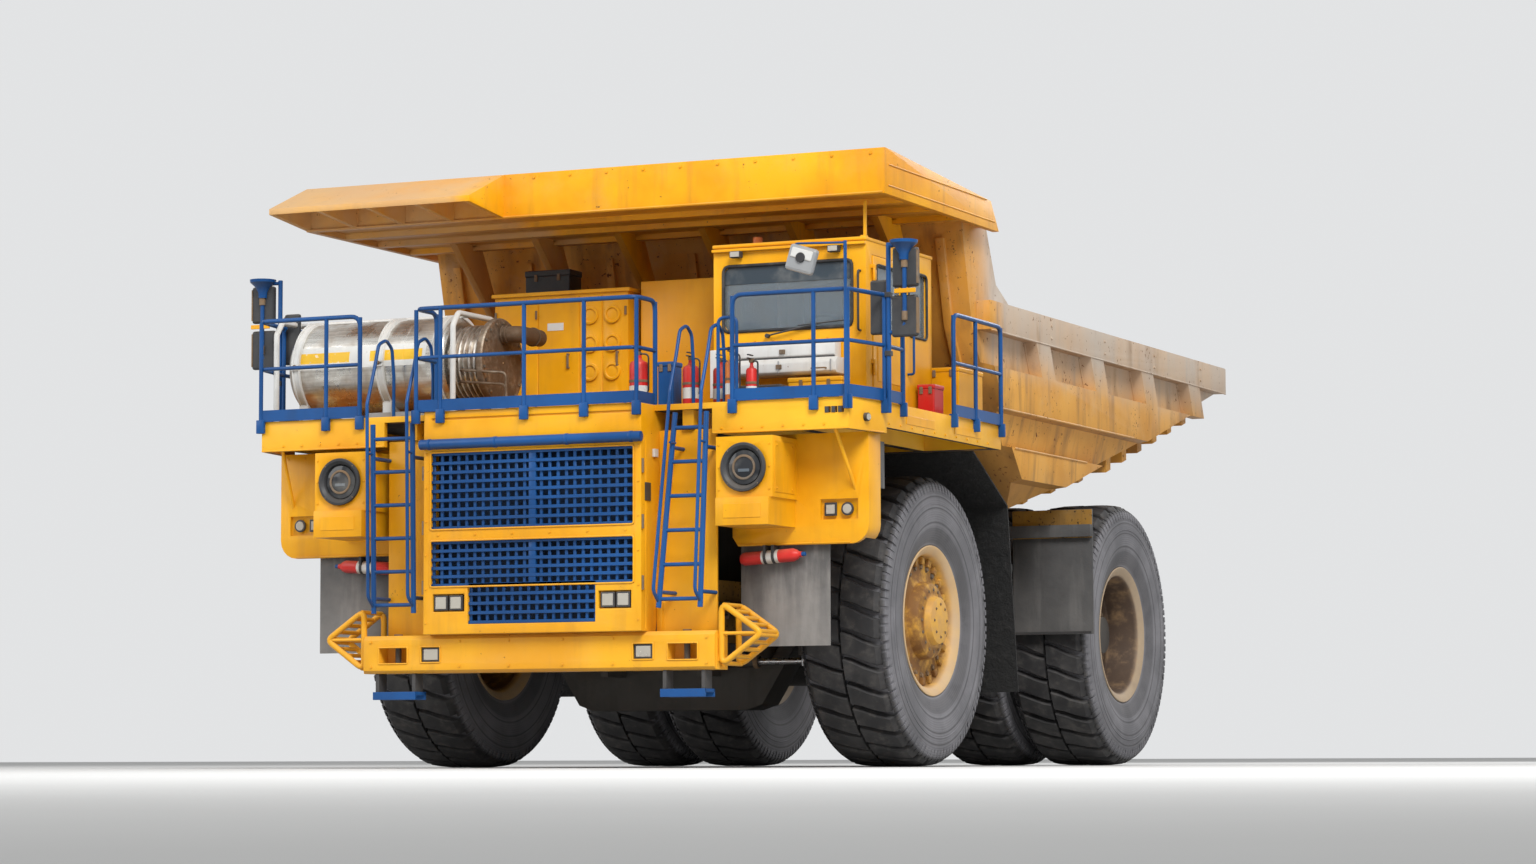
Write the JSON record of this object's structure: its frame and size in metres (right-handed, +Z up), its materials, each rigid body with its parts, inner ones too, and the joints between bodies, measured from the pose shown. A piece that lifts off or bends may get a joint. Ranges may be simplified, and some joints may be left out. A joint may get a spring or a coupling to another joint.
{
  "type": "mining dump truck",
  "caption": "Rigid mining dump truck with steered front wheels, twin rear wheels, cab with a door, and a tipping bed with a canopy.",
  "frame": {"origin": "on the ground, at the middle of the truck's outline seen from above", "axes": "+Z up, -Y towards the front of the truck, +X towards its own left side, where the cab is"},
  "size_m": [7.6152, 12.4198, 6.14],
  "materials": {
    "yellow_paint": "weathered golden yellow paint",
    "dusty_paint": "yellow paint under pale dust, scraped by rock",
    "blue_paint": "blue paint",
    "dark_steel": "dark greasy castings and forgings",
    "tyre_rubber": "dusty tyre rubber",
    "flap_rubber": "dusty sheet rubber",
    "stainless": "stainless sheet",
    "white_paint": "white paint",
    "red_paint": "red paint",
    "lamp_lens": "clear ribbed lens",
    "cab_glass": "tinted glass",
    "cab_trim": "dark cab trim",
    "chromed_rod": "chromed rod"
  },
  "bodies": {
    "chassis": {"frame_rails": "yellow_paint", "power_unit": "dark_steel", "front_axle": "dark_steel", "rear_axle": "dark_steel", "bumper": "yellow_paint", "bumper_guards": "yellow_paint", "hood": "yellow_paint", "radiator": "dark_steel", "grille": "blue_paint", "ladders": "blue_paint", "deck": "yellow_paint", "wings": "yellow_paint", "lamps": "lamp_lens", "rubber_flaps": "flap_rubber", "extinguishers": "red_paint", "rails_centre": "blue_paint", "rails_left": "blue_paint", "rails_right": "blue_paint", "cab_shell": "yellow_paint", "cab_glass": "cab_glass", "cab_interior": "cab_trim", "cab_locker": "white_paint", "mirrors": "blue_paint", "brake_resistor": "stainless", "resistor_piping": "stainless", "control_cabinet": "yellow_paint", "deck_boxes": "dark_steel", "bulkhead": "yellow_paint", "side_tanks": "yellow_paint"},
    "cab_door": {"cab_door": "yellow_paint", "door_glass": "cab_glass"},
    "knuckle_left": {"knuckle_left": "dark_steel"},
    "front_wheel_left": {"front_rim_left": "yellow_paint", "front_tyre_left": "tyre_rubber"},
    "rear_wheels_left": {"rear_rims_left": "yellow_paint", "rear_tyres_left": "tyre_rubber"},
    "steer_barrel_left": {"steer_barrel_left": "dark_steel"},
    "steer_rod_left": {"steer_rod_left": "chromed_rod"},
    "hoist_barrel_left": {"hoist_barrel_left": "yellow_paint"},
    "hoist_stage_left": {"hoist_stage_left": "chromed_rod"},
    "hoist_rod_left": {"hoist_rod_left": "chromed_rod"},
    "knuckle_right": {"knuckle_right": "dark_steel"},
    "front_wheel_right": {"front_rim_right": "yellow_paint", "front_tyre_right": "tyre_rubber"},
    "rear_wheels_right": {"rear_rims_right": "yellow_paint", "rear_tyres_right": "tyre_rubber"},
    "steer_barrel_right": {"steer_barrel_right": "dark_steel"},
    "steer_rod_right": {"steer_rod_right": "chromed_rod"},
    "hoist_barrel_right": {"hoist_barrel_right": "yellow_paint"},
    "hoist_stage_right": {"hoist_stage_right": "chromed_rod"},
    "hoist_rod_right": {"hoist_rod_right": "chromed_rod"},
    "tie_rod": {"tie_rod": "dark_steel"},
    "bed": {"bed_shell": "dusty_paint", "canopy": "yellow_paint"}
  },
  "joints": [
    {"name": "bed_tip", "type": "hinge", "parent": "chassis", "child": "bed", "pos_m": [0, 4.189, 2.48], "axis": [-1, 0, 0], "range_deg": [0, 46]},
    {"name": "cab_door_swing", "type": "hinge", "parent": "chassis", "child": "cab_door", "pos_m": [3.042, -4.553, 4.4], "axis": [0, 0, -1], "range_deg": [0, 90]},
    {"name": "steer_left", "type": "hinge", "parent": "chassis", "child": "knuckle_left", "pos_m": [1.75, -2.761, 1.51], "axis": [0, 0, 1], "range_deg": [-35, 35]},
    {"name": "spin_front_left", "type": "hinge", "parent": "knuckle_left", "child": "front_wheel_left", "pos_m": [2.515, -2.761, 1.51], "axis": [1, 0, 0], "continuous": true},
    {"name": "spin_rear_left", "type": "hinge", "parent": "chassis", "child": "rear_wheels_left", "pos_m": [2.755, 2.539, 1.51], "axis": [1, 0, 0], "continuous": true},
    {"name": "steer_right", "type": "hinge", "parent": "chassis", "child": "knuckle_right", "pos_m": [-1.75, -2.761, 1.51], "axis": [0, 0, 1], "range_deg": [-35, 35]},
    {"name": "spin_front_right", "type": "hinge", "parent": "knuckle_right", "child": "front_wheel_right", "pos_m": [-2.515, -2.761, 1.51], "axis": [1, 0, 0], "continuous": true},
    {"name": "spin_rear_right", "type": "hinge", "parent": "chassis", "child": "rear_wheels_right", "pos_m": [-2.755, 2.539, 1.51], "axis": [1, 0, 0], "continuous": true},
    {"name": "tie_rod_pivot", "type": "hinge", "parent": "knuckle_left", "child": "tie_rod", "pos_m": [1.75, -2.161, 1.1], "axis": [0, 0, 1], "range_deg": [-35.5, 35.5]},
    {"name": "steer_barrel_pivot_left", "type": "hinge", "parent": "chassis", "child": "steer_barrel_left", "pos_m": [0.56, -3.306, 1.1], "axis": [0, 0, 1], "range_deg": [-2, 2]},
    {"name": "steer_rod_slide_left", "type": "slide", "parent": "steer_barrel_left", "child": "steer_rod_left", "axis": [1, 0, 0], "range_m": [-0.355, 0.355]},
    {"name": "steer_barrel_pivot_right", "type": "hinge", "parent": "chassis", "child": "steer_barrel_right", "pos_m": [-0.56, -3.306, 1.1], "axis": [0, 0, 1], "range_deg": [-2, 2]},
    {"name": "steer_rod_slide_right", "type": "slide", "parent": "steer_barrel_right", "child": "steer_rod_right", "axis": [-1, 0, 0], "range_m": [-0.355, 0.355]},
    {"name": "hoist_pivot_left", "type": "hinge", "parent": "chassis", "child": "hoist_barrel_left", "pos_m": [1, 1.439, 1.25], "axis": [-1, 0, 0], "range_deg": [0, 22]},
    {"name": "hoist_stage_slide_left", "type": "slide", "parent": "hoist_barrel_left", "child": "hoist_stage_left", "axis": [0, -0.0587, 0.9983], "range_m": [0, 1.065]},
    {"name": "hoist_rod_slide_left", "type": "slide", "parent": "hoist_stage_left", "child": "hoist_rod_left", "axis": [0, -0.0587, 0.9983], "range_m": [0, 1.065]},
    {"name": "hoist_pivot_right", "type": "hinge", "parent": "chassis", "child": "hoist_barrel_right", "pos_m": [-1, 1.439, 1.25], "axis": [-1, 0, 0], "range_deg": [0, 22]},
    {"name": "hoist_stage_slide_right", "type": "slide", "parent": "hoist_barrel_right", "child": "hoist_stage_right", "axis": [0, -0.0587, 0.9983], "range_m": [0, 1.065]},
    {"name": "hoist_rod_slide_right", "type": "slide", "parent": "hoist_stage_right", "child": "hoist_rod_right", "axis": [0, -0.0587, 0.9983], "range_m": [0, 1.065]}
  ],
  "couplings": [
    {"joint": "steer_right", "follows": "steer_left", "ratio": 1},
    {"joint": "tie_rod_pivot", "follows": "steer_left", "ratio": -1},
    {"joint": "steer_barrel_pivot_left", "follows": "steer_left", "ratio": -0.023},
    {"joint": "steer_rod_slide_left", "follows": "steer_left", "m_per_rad": 0.571},
    {"joint": "steer_barrel_pivot_right", "follows": "steer_left", "ratio": -0.023},
    {"joint": "steer_rod_slide_right", "follows": "steer_left", "m_per_rad": -0.571},
    {"joint": "hoist_pivot_left", "follows": "bed_tip", "ratio": 0.43997},
    {"joint": "hoist_stage_slide_left", "follows": "bed_tip", "m_per_rad": 1.3134},
    {"joint": "hoist_rod_slide_left", "follows": "bed_tip", "m_per_rad": 1.3134},
    {"joint": "hoist_pivot_right", "follows": "bed_tip", "ratio": 0.43997},
    {"joint": "hoist_stage_slide_right", "follows": "bed_tip", "m_per_rad": 1.3134},
    {"joint": "hoist_rod_slide_right", "follows": "bed_tip", "m_per_rad": 1.3134}
  ]
}
